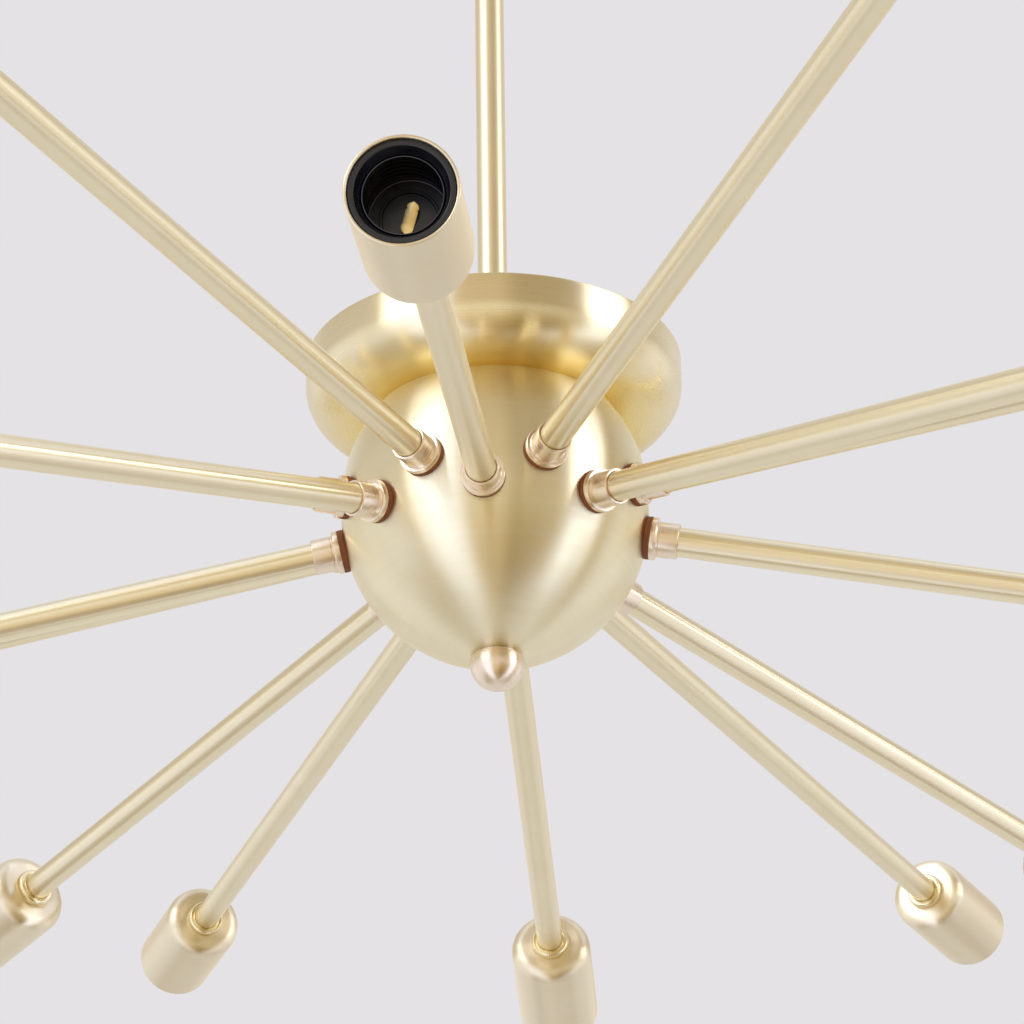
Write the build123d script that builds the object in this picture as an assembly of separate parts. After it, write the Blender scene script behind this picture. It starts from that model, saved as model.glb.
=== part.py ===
from build123d import *
import math
import os

# Sputnik chandelier: sixteen straight brass arms in two staggered rows of eight, each ending in
# an open lamp cup, set into a spun brass hub that hangs from the ceiling on a rigid stem.
#
# Millimetres. The ceiling is the plane Z = 0 and the fixture hangs below it on the Z axis.
# The front is -Y and +X is to the right. All sixteen arms point at one spot, the hub centre.

# ---------------------------------------------------------------- driving dimensions

# arms
ARMS_PER_ROW = 8
LOWER_DROOP = 11.25         # degrees that the lower row hangs below the horizontal
UPPER_DROOP = 0.2           # the upper row is level but for the sag of its long arms
LOWER_REACH = 352.0         # hub centre to the back of a lower lamp cup
UPPER_REACH = 508.0         # hub centre to the back of an upper lamp cup
TUBE_DIA = 12.7
TUBE_WALL = 1.0

# hub bowl: half a sphere, a short straight band, then a spherical shoulder up to the mouth
HUB_RADIUS = 66.5
HUB_BAND = 6.0
HUB_MOUTH_RADIUS = 52.9
HUB_WALL = 1.5

# dish: a pan, rim up, whose floor closes the mouth of the hub and reaches a ledge beyond it
DISH_LEDGE = 11.0
DISH_HEIGHT = 28.4
DISH_SHOULDER = 18.6        # radial reach of the shoulder between floor and wall
DISH_SHOULDER_RISE = 16.2
PAN_WALL = 1.2

# clearances, all radial
SLIP_CLEARANCE = 0.1        # a tube in its socket, and a thread in its thread
HOLE_CLEARANCE = 0.3        # a thread through a plain hole
SOCKET_CLEARANCE = 0.3      # the insulator in its cup and the screw shell in the insulator
STEM_CLEARANCE = 0.4        # the hub rod in the stem
RUNNING_CLEARANCE = 0.05    # the pivot in the eye and the yoke on the nipple

# arm fitting: flange and collar outside the bowl, threaded shank and hex locknut inside it
GASKET_THICKNESS = 2.0
FLANGE_LIP = 1.65           # flange past the collar
FLANGE_THICKNESS = 2.5
COLLAR_WALL = 1.2
COLLAR_LENGTH = 9.5
COLLAR_CHAMFER = 0.5
TUBE_SEAT_DEPTH = 9.0
SHANK_DIA = 9.6
SHANK_BORE = 6.8
SHANK_INSIDE = 8.0          # shank that shows inside the bowl
LOCKNUT_WALL = 2.2          # thread to flat
LOCKNUT_THICKNESS = 4.0

# lamp cup and what it holds; the screw shell takes a medium screw lamp base
SHELL_BORE = 26.6
SHELL_WALL = 0.8
SHELL_RECESS = 5.0          # mouth of the cup to the edge of the screw shell
SHELL_LENGTH = 20.0
SOCKET_WALL = 3.85
SOCKET_LIP = 2.0            # wall of the insulator at its flared mouth
SOCKET_RECESS = 1.0         # mouth of the cup to the front face of the insulator
SOCKET_DEPTH = 30.0         # mouth of the cup to the floor of the lamp cavity
CUP_WALL = 1.2
CUP_LENGTH = 66.0
CUP_SHOULDER = 6.0          # radial reach of the shoulder between back and wall
CUP_SHOULDER_RISE = 6.5
RING_NUT_WALL = 3.05
RING_NUT_LENGTH = 4.0
RING_NUT_CHAMFER = 0.9
TUBE_IN_CUP = 11.0          # threaded end of the arm that carries the cup and its insulator

# sprung tongue on the floor of the lamp cavity
CONTACT_LENGTH = 11.0
CONTACT_WIDTH = 4.4
CONTACT_THICKNESS = 0.6
CONTACT_FOOT = 2.5
CONTACT_RISE = 3.2
CONTACT_TURN = -20.0        # degrees that the tongue leans from the upright on every arm

# finial cap that closes the bottom pole of the bowl: half a ball, a short cylinder, a seat ring
FINIAL_RADIUS = 11.5
FINIAL_CYLINDER = 2.8
SEAT_RING_THICKNESS = 0.6   # at the pole of the bowl
SEAT_RING_INSET = 1.3       # seat ring inside the edge of the cap
FINIAL_THREAD_DEPTH = 7.0

# stem and the parts at its two ends
STEM_LENGTH = 305.0
STEM_DIA = 13.2
STEM_WALL = 1.4
ROD_WALL = 1.8
ROD_IN_STEM = 18.0
FOOT_FLANGE_LIP = 5.4
FOOT_FLANGE_THICKNESS = 3.0
FOOT_COLLAR_WALL = 2.8
FOOT_COLLAR_LENGTH = 10.0
CENTRE_NUT_WALL = 3.7       # thread to flat
CENTRE_NUT_THICKNESS = 5.0

# swivel: a clevis that turns on the canopy nipple and an eye that tilts between its cheeks
YOKE_SLOT = 16.0
YOKE_CHEEK = 5.0
YOKE_ROUND = 1.0            # radius of the yoke's barrel past its flat cheeks
YOKE_TOP_WALL = 6.0
YOKE_TIP_RADIUS = 11.0
EYE_SIDE_GAP = 0.2
EYE_RADIUS = 9.0
EYE_HEADROOM = 1.5
EYE_NECK = 13.0             # pivot to the top of the stem collar
EYE_COLLAR_WALL = 2.3
EYE_COLLAR_LENGTH = 13.0
STEM_SEAT_DEPTH = 10.0
PIVOT_DIA = 6.0
PIVOT_HEAD_DIA = 10.0
PIVOT_HEAD_LENGTH = 2.5
TURNING_GAP = 0.3           # face to face, between the yoke and the nut above it
RETAINER_GAP = 0.2          # radial, the retaining nut in the slot of the yoke
RETAINER_LENGTH = 4.0
NIPPLE_TAIL = 1.0           # nipple that shows past the retaining nut

# canopy and what holds it to the ceiling box
CANOPY_RADIUS = 63.5
CANOPY_DEPTH = 26.0
CANOPY_SHOULDER = 12.0
CANOPY_SHOULDER_RISE = 11.0
CANOPY_NUT_WALL = 6.2
CANOPY_NUT_LENGTH = 6.0
CANOPY_NUT_CHAMFER = 1.0
STRAP_MARGIN = 5.3          # strap past the end of each slot
STRAP_WIDTH = 20.0
STRAP_THICKNESS = 2.5
STRAP_SLOT_SPACING = 79.4   # centre to centre of the two slots for the ceiling box screws
STRAP_SLOT_LENGTH = 14.0
STRAP_SLOT_WIDTH = 4.6

# ---------------------------------------------------------------- sizes that follow from them

hub_inner = HUB_RADIUS - HUB_WALL
dish_radius = HUB_MOUTH_RADIUS + DISH_LEDGE + DISH_SHOULDER
rod_dia = STEM_DIA - 2 * (STEM_WALL + STEM_CLEARANCE)
rod_bore = rod_dia - 2 * ROD_WALL
tube_bore = TUBE_DIA + 2 * SLIP_CLEARANCE
collar_dia = tube_bore + 2 * COLLAR_WALL
flange_dia = collar_dia + 2 * FLANGE_LIP
locknut_flats = SHANK_DIA + 2 * LOCKNUT_WALL
ring_nut_dia = tube_bore + 2 * RING_NUT_WALL
shell_dia = SHELL_BORE + 2 * SHELL_WALL
cavity_dia = shell_dia + 2 * SOCKET_CLEARANCE
socket_dia = cavity_dia + 2 * SOCKET_WALL
cup_dia = socket_dia + 2 * (SOCKET_CLEARANCE + CUP_WALL)
stem_socket = STEM_DIA + 2 * SLIP_CLEARANCE
foot_collar_dia = stem_socket + 2 * FOOT_COLLAR_WALL
foot_flange_dia = foot_collar_dia + 2 * FOOT_FLANGE_LIP
centre_nut_flats = rod_dia + 2 * CENTRE_NUT_WALL
eye_collar_dia = stem_socket + 2 * EYE_COLLAR_WALL
eye_width = YOKE_SLOT - 2 * EYE_SIDE_GAP
yoke_flats = YOKE_SLOT + 2 * YOKE_CHEEK
yoke_dia = yoke_flats + 2 * YOKE_ROUND
retainer_dia = YOKE_SLOT - 2 * RETAINER_GAP
canopy_nut_dia = rod_dia + 2 * CANOPY_NUT_WALL
strap_length = STRAP_SLOT_SPACING + STRAP_SLOT_LENGTH + 2 * STRAP_MARGIN

# heights
canopy_bottom = -CANOPY_DEPTH
yoke_top = canopy_bottom - CANOPY_NUT_LENGTH - TURNING_GAP
retainer_top = yoke_top - YOKE_TOP_WALL
nipple_bottom = retainer_top - RETAINER_LENGTH - NIPPLE_TAIL
pivot_z = nipple_bottom - EYE_HEADROOM - EYE_RADIUS
eye_collar_top = pivot_z - EYE_NECK
eye_bottom = eye_collar_top - EYE_COLLAR_LENGTH
stem_top = eye_bottom + STEM_SEAT_DEPTH
stem_bottom = stem_top - STEM_LENGTH
dish_floor_top = stem_bottom - FOOT_FLANGE_THICKNESS
dish_underside = dish_floor_top - PAN_WALL
mouth_height = HUB_BAND + math.sqrt(HUB_RADIUS**2 - HUB_MOUTH_RADIUS**2)
hub_z = dish_underside - mouth_height
pole_z = hub_z - HUB_RADIUS
finial_top = pole_z - SEAT_RING_THICKNESS
hub_centre = Vector(0, 0, hub_z)


# ---------------------------------------------------------------- helpers

def turned(*edges):
    """A body of revolution about Z from profile edges drawn as (radius, height)."""
    return revolve(Plane.XZ * make_face(edges), Axis.Z)


def turned_outline(*corners):
    """A body of revolution about Z from a straight-sided outline of (radius, height) corners."""
    return turned(*Polyline(*corners, close=True).edges())


def arc(centre, radius, from_angle, to_angle):
    """A profile arc; angles in degrees from the outward direction towards the upward one."""
    def at(angle):
        turn = math.radians(angle)
        return (centre[0] + radius * math.cos(turn), centre[1] + radius * math.sin(turn))

    return ThreePointArc(at(from_angle), at((from_angle + to_angle) / 2), at(to_angle))


def shoulder(wall_radius, flat_z, reach, rise):
    """A quarter of an ellipse from a flat face at flat_z, out and up to a wall at wall_radius."""
    return EllipticalCenterArc((wall_radius - reach, flat_z + rise), reach, rise, -90, arc_size=90)


def tube(outer_dia, inner_dia, bottom, top):
    """A plain round tube on the Z axis between two heights."""
    return turned_outline(
        (inner_dia / 2, bottom), (outer_dia / 2, bottom), (outer_dia / 2, top), (inner_dia / 2, top)
    )


def hex_nut(flats, bore_dia, bottom, top):
    """A plain hexagon nut on the Z axis between two heights."""
    hexagon = RegularPolygon(flats / 2, 6, major_radius=False)
    blank = extrude(Plane.XY.offset(bottom) * hexagon, amount=top - bottom)
    hole = Plane.XY.offset((bottom + top) / 2) * Cylinder(bore_dia / 2, 2 * (top - bottom))
    return blank - hole


def spun_pan(radius, height, reach, rise, floor_z):
    """A thin spun pan, rim up: flat floor with a hole for the rod, round shoulder, straight wall."""
    hole_radius = rod_dia / 2 + HOLE_CLEARANCE
    flat_radius = radius - reach
    inner = radius - PAN_WALL
    inside_floor = floor_z + PAN_WALL
    rim = floor_z + height
    return turned(
        Line((hole_radius, floor_z), (flat_radius, floor_z)),
        shoulder(radius, floor_z, reach, rise),
        Line((radius, floor_z + rise), (radius, rim)),
        Line((radius, rim), (inner, rim)),
        Line((inner, rim), (inner, floor_z + rise)),
        shoulder(inner, inside_floor, reach - PAN_WALL, rise - PAN_WALL),
        Line((flat_radius, inside_floor), (hole_radius, inside_floor)),
        Line((hole_radius, inside_floor), (hole_radius, floor_z)),
    )


# ---------------------------------------------------------------- the two rows of arms

class Row:
    """One row of arms: its name, droop, reach and the azimuth of its first arm."""

    def __init__(self, name, droop, reach, first_azimuth):
        self.name = name
        self.droop = math.radians(droop)
        self.reach = reach
        self.first_azimuth = first_azimuth

    def place(self, index):
        """The location that turns +Z into the outward direction of one arm."""
        turn = math.radians(self.first_azimuth + index * 360 / ARMS_PER_ROW)
        outward = Vector(
            math.cos(self.droop) * math.sin(turn),
            -math.cos(self.droop) * math.cos(turn),
            -math.sin(self.droop),
        )
        sideways = Vector(math.cos(turn), math.sin(turn), 0)
        return Plane(origin=hub_centre, x_dir=sideways, z_dir=outward).location

    def repeat(self, piece):
        """The piece, made along +Z from the hub centre, once on every arm of the row."""
        return Compound(children=[piece.moved(self.place(i)) for i in range(ARMS_PER_ROW)])


lower_row = Row("lower", LOWER_DROOP, LOWER_REACH, 0)
upper_row = Row("upper", UPPER_DROOP, UPPER_REACH, 180 / ARMS_PER_ROW)
rows = (lower_row, upper_row)

# distances along an arm from the hub centre
gasket_face = HUB_RADIUS + GASKET_THICKNESS
flange_face = gasket_face + FLANGE_THICKNESS
collar_face = flange_face + COLLAR_LENGTH
tube_start = collar_face - TUBE_SEAT_DEPTH


# ---------------------------------------------------------------- hub

def bowl_form(radius):
    """The round form of the bowl, closed at the top: half sphere, straight band, half sphere."""
    return turned(
        arc((0, 0), radius, -90, 0),
        Line((radius, 0), (radius, HUB_BAND)),
        arc((0, HUB_BAND), radius, 0, 90),
        Line((0, HUB_BAND + radius), (0, -radius)),
    )


def hub_bowl():
    """The spun bowl with a hole at its pole and one for each arm fitting."""
    pole_hole = rod_dia / 2 + HOLE_CLEARANCE
    mouth_angle = math.degrees(math.acos(HUB_MOUTH_RADIUS / HUB_RADIUS))
    inner_mouth = math.sqrt(hub_inner**2 - (mouth_height - HUB_BAND) ** 2)
    inner_mouth_angle = math.degrees(math.acos(inner_mouth / hub_inner))
    outer_pole_angle = -math.degrees(math.acos(pole_hole / HUB_RADIUS))
    inner_pole_angle = -math.degrees(math.acos(pole_hole / hub_inner))
    outer_pole = (pole_hole, -math.sqrt(HUB_RADIUS**2 - pole_hole**2))
    inner_pole = (pole_hole, -math.sqrt(hub_inner**2 - pole_hole**2))
    bowl = turned(
        arc((0, 0), HUB_RADIUS, outer_pole_angle, 0),
        Line((HUB_RADIUS, 0), (HUB_RADIUS, HUB_BAND)),
        arc((0, HUB_BAND), HUB_RADIUS, 0, mouth_angle),
        Line((HUB_MOUTH_RADIUS, mouth_height), (inner_mouth, mouth_height)),
        arc((0, HUB_BAND), hub_inner, inner_mouth_angle, 0),
        Line((hub_inner, HUB_BAND), (hub_inner, 0)),
        arc((0, 0), hub_inner, 0, inner_pole_angle),
        Line(inner_pole, outer_pole),
    ).moved(Location(hub_centre))
    drill = Cylinder(SHANK_DIA / 2 + HOLE_CLEARANCE, 8 * HUB_WALL).moved(
        Location((0, 0, HUB_RADIUS - HUB_WALL / 2))
    )
    for row in rows:
        for index in range(ARMS_PER_ROW):
            bowl = bowl - drill.moved(row.place(index))
    return bowl


def dish_pan():
    """The pan that closes the mouth of the bowl."""
    return spun_pan(dish_radius, DISH_HEIGHT, DISH_SHOULDER, DISH_SHOULDER_RISE, dish_underside)


def finial_cap():
    """Half a ball under a short cylinder, with a blind threaded hole for the end of the rod."""
    thread = rod_dia / 2 + SLIP_CLEARANCE
    hole_bottom = pole_z - FINIAL_THREAD_DEPTH
    ball_z = finial_top - FINIAL_CYLINDER
    return turned(
        arc((0, ball_z), FINIAL_RADIUS, -90, 0),
        Line((FINIAL_RADIUS, ball_z), (FINIAL_RADIUS, finial_top)),
        Line((FINIAL_RADIUS, finial_top), (thread, finial_top)),
        Line((thread, finial_top), (thread, hole_bottom)),
        Line((thread, hole_bottom), (0, hole_bottom)),
        Line((0, hole_bottom), (0, ball_z - FINIAL_RADIUS)),
    )


def finial_seat_ring():
    """The thin ring between the cap and the bowl, its upper face shaped by the bowl."""
    bore = rod_dia + 2 * HOLE_CLEARANCE
    blank = tube(2 * (FINIAL_RADIUS - SEAT_RING_INSET), bore, finial_top, pole_z + HUB_WALL)
    bowl = Sphere(HUB_RADIUS + SLIP_CLEARANCE).moved(Location(hub_centre))
    return blank - bowl


def hub_rod():
    """The threaded tube that ties the stem, the dish, the bowl and the finial together."""
    return tube(rod_dia, rod_bore, pole_z - FINIAL_THREAD_DEPTH, stem_bottom + ROD_IN_STEM)


def dish_nut():
    """The hexagon nut on the rod that draws the floor of the dish up against the stem foot."""
    bore = rod_dia + 2 * SLIP_CLEARANCE
    return hex_nut(centre_nut_flats, bore, dish_underside - CENTRE_NUT_THICKNESS, dish_underside)


# ---------------------------------------------------------------- arm fittings

def gasket(row):
    """The fibre washer between flange and bowl, its inner face shaped by the bowl."""
    bore = SHANK_DIA + 2 * HOLE_CLEARANCE
    blank = tube(flange_dia, bore, HUB_RADIUS - GASKET_THICKNESS, gasket_face)
    bowl = bowl_form(HUB_RADIUS + SLIP_CLEARANCE).moved(Location(hub_centre))
    return blank.moved(row.place(0)) - bowl


def arm_fitting():
    """Flange, collar and threaded shank in one turned piece, bored for wires and arm."""
    shank_end = hub_inner - SHANK_INSIDE
    return turned_outline(
        (SHANK_BORE / 2, shank_end),
        (SHANK_DIA / 2, shank_end),
        (SHANK_DIA / 2, gasket_face),
        (flange_dia / 2, gasket_face),
        (flange_dia / 2, flange_face),
        (collar_dia / 2, flange_face),
        (collar_dia / 2, collar_face - COLLAR_CHAMFER),
        (collar_dia / 2 - COLLAR_CHAMFER, collar_face),
        (tube_bore / 2, collar_face),
        (tube_bore / 2, tube_start),
        (SHANK_BORE / 2, tube_start),
    )


def arm_locknut():
    """The hexagon nut that draws the fitting tight from inside the bowl."""
    corner = locknut_flats / math.sqrt(3)
    seat = math.sqrt(hub_inner**2 - corner**2) - SLIP_CLEARANCE
    bore = SHANK_DIA + 2 * SLIP_CLEARANCE
    return hex_nut(locknut_flats, bore, seat - LOCKNUT_THICKNESS, seat)


def arm_tube(row):
    """The tube from its seat in the arm fitting to its threaded end inside the lamp cup."""
    return tube(TUBE_DIA, TUBE_DIA - 2 * TUBE_WALL, tube_start, row.reach + TUBE_IN_CUP)


# ---------------------------------------------------------------- lamp cups

def lamp_cup(back):
    """The spun cup: flat back with a hole, round shoulder, straight wall and open mouth."""
    outer = cup_dia / 2
    inner = outer - CUP_WALL
    hole = TUBE_DIA / 2 + HOLE_CLEARANCE
    flat_radius = outer - CUP_SHOULDER
    floor = back + CUP_WALL
    wall_foot = back + CUP_SHOULDER_RISE
    mouth = back + CUP_LENGTH
    return turned(
        Line((hole, back), (flat_radius, back)),
        shoulder(outer, back, CUP_SHOULDER, CUP_SHOULDER_RISE),
        Line((outer, wall_foot), (outer, mouth)),
        Line((outer, mouth), (inner, mouth)),
        Line((inner, mouth), (inner, wall_foot)),
        Line((inner, wall_foot), (flat_radius, floor)),
        Line((flat_radius, floor), (hole, floor)),
        Line((hole, floor), (hole, back)),
    )


def ring_nut(back):
    """The round nut that clamps the cup on the end of the arm."""
    outer = ring_nut_dia / 2
    bore = tube_bore / 2
    foot = back - RING_NUT_LENGTH
    return turned_outline(
        (bore, foot),
        (outer - RING_NUT_CHAMFER, foot),
        (outer, foot + RING_NUT_CHAMFER),
        (outer, back),
        (bore, back),
    )


def socket_body(back):
    """The black insulator: threaded on the arm behind, flared for the lamp in front."""
    outer = socket_dia / 2
    floor = back + CUP_WALL
    mouth = back + CUP_LENGTH
    front = mouth - SOCKET_RECESS
    cavity_floor = mouth - SOCKET_DEPTH
    cavity = cavity_dia / 2
    thread = tube_bore / 2
    thread_end = back + TUBE_IN_CUP + SLIP_CLEARANCE
    return turned_outline(
        (thread, floor),
        (outer - CUP_SHOULDER, floor),
        (outer, floor + CUP_SHOULDER),
        (outer, front),
        (outer - SOCKET_LIP, front),
        (cavity, mouth - SHELL_RECESS),
        (cavity, cavity_floor),
        (0, cavity_floor),
        (0, thread_end),
        (thread, thread_end),
    )


def screw_shell(back):
    """The thin sleeve that the lamp base screws into."""
    edge = back + CUP_LENGTH - SHELL_RECESS
    return tube(shell_dia, SHELL_BORE, edge - SHELL_LENGTH, edge)


def centre_contact(back):
    """The sprung tongue on the cavity floor: a flat foot, then a leaf that rises to a round tip."""
    floor = back + CUP_LENGTH - SOCKET_DEPTH
    low = -CONTACT_LENGTH / 2
    high = CONTACT_LENGTH / 2
    bend = low + CONTACT_FOOT
    thick = CONTACT_THICKNESS
    side_view = Plane.YZ * Polyline(
        (low, floor),
        (bend + thick, floor),
        (high, floor + CONTACT_RISE),
        (high, floor + CONTACT_RISE + thick),
        (bend, floor + thick),
        (low, floor + thick),
        close=True,
    )
    strip = extrude(make_face(side_view), amount=CONTACT_WIDTH / 2, both=True)
    front_view = Plane.XY.offset(floor) * SlotOverall(CONTACT_LENGTH, CONTACT_WIDTH, rotation=90)
    leaf = strip & extrude(front_view, amount=CONTACT_RISE + 2 * thick)
    return leaf.rotate(Axis.Z, CONTACT_TURN)


# ---------------------------------------------------------------- stem

def stem_tube():
    """The plain tube between the stem foot and the collar of the eye."""
    return tube(STEM_DIA, STEM_DIA - 2 * STEM_WALL, stem_bottom, stem_top)


def stem_foot():
    """The flanged nut on the dish floor that holds the lower end of the stem."""
    thread = rod_dia / 2 + SLIP_CLEARANCE
    collar_top = stem_bottom + FOOT_COLLAR_LENGTH
    return turned_outline(
        (thread, dish_floor_top),
        (foot_flange_dia / 2, dish_floor_top),
        (foot_flange_dia / 2, stem_bottom),
        (foot_collar_dia / 2, stem_bottom),
        (foot_collar_dia / 2, collar_top),
        (stem_socket / 2, collar_top),
        (stem_socket / 2, stem_bottom),
        (thread, stem_bottom),
    )


# ---------------------------------------------------------------- swivel

def cross_pin(diameter, length, centre_y=0.0):
    """A round bar on the pivot axis, which runs from front to back."""
    bar = Cylinder(diameter / 2, length, rotation=(90, 0, 0))
    return bar.moved(Location((0, centre_y, pivot_z)))


def stem_eye():
    """The eye that tilts in the yoke, with a collar below that takes the stem."""
    wireway_top = eye_collar_top + rod_bore / 2
    eye = cross_pin(2 * EYE_RADIUS, eye_width)
    flats = Box(2 * eye_collar_dia, eye_width, 4 * EYE_NECK).moved(Location((0, 0, pivot_z)))
    neck = tube(eye_collar_dia, 0, eye_collar_top, pivot_z) & flats
    collar = tube(eye_collar_dia, 0, eye_bottom, eye_collar_top)
    socket = tube(stem_socket, 0, eye_bottom, stem_top)
    wireway = tube(rod_bore, 0, stem_top, wireway_top)
    side_exit = Cylinder(rod_bore / 2, eye_collar_dia, rotation=(0, 90, 0)).moved(
        Location((eye_collar_dia / 2, 0, wireway_top))
    )
    hole = cross_pin(PIVOT_DIA + 2 * RUNNING_CLEARANCE, 2 * eye_width)
    return eye + neck + collar - socket - wireway - side_exit - hole


def swivel_yoke():
    """The clevis: a turned body with two flat cheeks, slotted for the eye."""
    barrel = tube(yoke_dia, 0, pivot_z, yoke_top)
    tip = cross_pin(2 * YOKE_TIP_RADIUS, yoke_dia) & tube(yoke_dia, 0, pivot_z - yoke_dia, yoke_top)
    flats = Box(2 * yoke_dia, yoke_flats, 4 * yoke_dia).moved(Location((0, 0, pivot_z)))
    slot_height = retainer_top - pivot_z + yoke_dia
    slot = Box(2 * yoke_dia, YOKE_SLOT, slot_height).moved(
        Location((0, 0, retainer_top - slot_height / 2))
    )
    bore = tube(rod_dia + 2 * RUNNING_CLEARANCE, 0, retainer_top, yoke_top)
    hole = cross_pin(PIVOT_DIA + 2 * SLIP_CLEARANCE, 2 * yoke_dia)
    return ((barrel + tip) & flats) - slot - bore - hole


def pivot_screw():
    """The shoulder screw through both cheeks and the eye, head to the front."""
    head_y = -(yoke_flats + PIVOT_HEAD_LENGTH) / 2
    return cross_pin(PIVOT_DIA, yoke_flats) + cross_pin(PIVOT_HEAD_DIA, PIVOT_HEAD_LENGTH, head_y)


def pivot_nut():
    """The round cap nut on the tail of the shoulder screw."""
    return cross_pin(PIVOT_HEAD_DIA, PIVOT_HEAD_LENGTH, (yoke_flats + PIVOT_HEAD_LENGTH) / 2)


# ---------------------------------------------------------------- canopy

def mounting_strap():
    """The flat cross bar that is screwed to the ceiling box, drilled and tapped for the nipple."""
    bar = SlotOverall(strap_length, STRAP_WIDTH) - Circle(rod_dia / 2 + SLIP_CLEARANCE)
    for side in (-1, 1):
        slot = SlotOverall(STRAP_SLOT_LENGTH, STRAP_SLOT_WIDTH)
        bar = bar - Pos(side * STRAP_SLOT_SPACING / 2, 0) * slot
    return extrude(Plane.XY.offset(-STRAP_THICKNESS) * bar, amount=STRAP_THICKNESS)


def canopy_pan():
    """The pan that covers the ceiling box, rim against the ceiling."""
    return spun_pan(
        CANOPY_RADIUS, CANOPY_DEPTH, CANOPY_SHOULDER, CANOPY_SHOULDER_RISE, canopy_bottom
    )


def canopy_nipple():
    """The threaded tube that hangs the fixture from the strap."""
    return tube(rod_dia, rod_bore, nipple_bottom, 0)


def canopy_nut():
    """The round nut that holds the canopy up against the ceiling."""
    bore = rod_dia / 2 + SLIP_CLEARANCE
    outer = canopy_nut_dia / 2
    foot = canopy_bottom - CANOPY_NUT_LENGTH
    return turned_outline(
        (bore, foot),
        (outer - CANOPY_NUT_CHAMFER, foot),
        (outer, foot + CANOPY_NUT_CHAMFER),
        (outer, canopy_bottom),
        (bore, canopy_bottom),
    )


def swivel_retainer():
    """The round nut inside the yoke that carries the whole fixture."""
    bore = rod_dia + 2 * SLIP_CLEARANCE
    return tube(retainer_dia, bore, retainer_top - RETAINER_LENGTH, retainer_top)


# ---------------------------------------------------------------- the separate pieces

pieces = {
    "mounting_strap": mounting_strap(),
    "canopy_pan": canopy_pan(),
    "canopy_nipple": canopy_nipple(),
    "canopy_nut": canopy_nut(),
    "swivel_retainer_nut": swivel_retainer(),
    "swivel_yoke": swivel_yoke(),
    "swivel_pivot_screw": pivot_screw(),
    "swivel_pivot_nut": pivot_nut(),
    "stem_eye": stem_eye(),
    "stem_tube": stem_tube(),
    "stem_foot": stem_foot(),
    "hub_rod": hub_rod(),
    "dish_pan": dish_pan(),
    "dish_nut": dish_nut(),
    "hub_bowl": hub_bowl(),
    "finial_seat_ring": finial_seat_ring(),
    "finial_cap": finial_cap(),
}

for row in rows:
    for index in range(ARMS_PER_ROW):
        pieces[f"arm_tube_{row.name}_{index + 1}"] = arm_tube(row).moved(row.place(index))
    first_gasket = gasket(row)
    turn = 360 / ARMS_PER_ROW
    pieces[f"arm_gaskets_{row.name}"] = Compound(
        children=[first_gasket.rotate(Axis.Z, index * turn) for index in range(ARMS_PER_ROW)]
    )
    pieces[f"arm_fittings_{row.name}"] = row.repeat(arm_fitting())
    pieces[f"arm_locknuts_{row.name}"] = row.repeat(arm_locknut())
    pieces[f"cup_ring_nuts_{row.name}"] = row.repeat(ring_nut(row.reach))
    pieces[f"lamp_cups_{row.name}"] = row.repeat(lamp_cup(row.reach))
    pieces[f"socket_bodies_{row.name}"] = row.repeat(socket_body(row.reach))
    pieces[f"screw_shells_{row.name}"] = row.repeat(screw_shell(row.reach))
    pieces[f"centre_contacts_{row.name}"] = row.repeat(centre_contact(row.reach))

os.makedirs("parts", exist_ok=True)
for name, piece in pieces.items():
    export_step(piece, f"parts/{name}.step")
print(f"{len(pieces)} pieces, hub centre at Z {hub_z:.2f}, pivot at Z {pivot_z:.2f}")
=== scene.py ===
# %% [markdown]
# # A sixteen-armed brass chandelier
# This notebook dresses a mechanical model in Blender. The model, packed as "the frame", gives
# every part its place. Here each part gets a finer mesh and a procedural finish, and a camera
# looks up at the hub from below, as one does at a ceiling lamp.
# The frame is loaded first. Everything in it is in metres, with the ceiling at height 0 and the
# lamp hanging down the Z axis.

# %% Load the frame
from math import acos, cos, degrees, pi, radians, sin, sqrt

import bmesh
import bpy
import numpy as np
from mathutils import Matrix, Vector


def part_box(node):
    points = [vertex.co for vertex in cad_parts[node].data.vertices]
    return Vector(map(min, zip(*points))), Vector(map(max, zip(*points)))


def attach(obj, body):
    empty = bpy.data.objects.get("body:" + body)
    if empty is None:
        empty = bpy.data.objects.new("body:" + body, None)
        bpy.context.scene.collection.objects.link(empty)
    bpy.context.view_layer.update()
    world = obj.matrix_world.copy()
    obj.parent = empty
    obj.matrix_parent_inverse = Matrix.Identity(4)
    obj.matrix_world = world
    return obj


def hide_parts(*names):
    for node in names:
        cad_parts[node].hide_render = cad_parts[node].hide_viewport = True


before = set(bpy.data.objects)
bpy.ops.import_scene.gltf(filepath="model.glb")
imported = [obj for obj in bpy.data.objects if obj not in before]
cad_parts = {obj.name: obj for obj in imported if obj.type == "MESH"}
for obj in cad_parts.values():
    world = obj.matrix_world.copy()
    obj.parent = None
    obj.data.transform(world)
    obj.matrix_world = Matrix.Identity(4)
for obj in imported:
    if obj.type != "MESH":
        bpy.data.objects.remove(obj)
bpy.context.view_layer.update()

# %% [markdown]
# ## Sizes
# The drawing is in millimetres, so the numbers here are too, and one factor turns them into
# metres. Only the sizes that several pieces share are written here; the others are in the cells
# that use them. Printing one next to the frame's own box is a cheap way to catch a slip.

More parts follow.
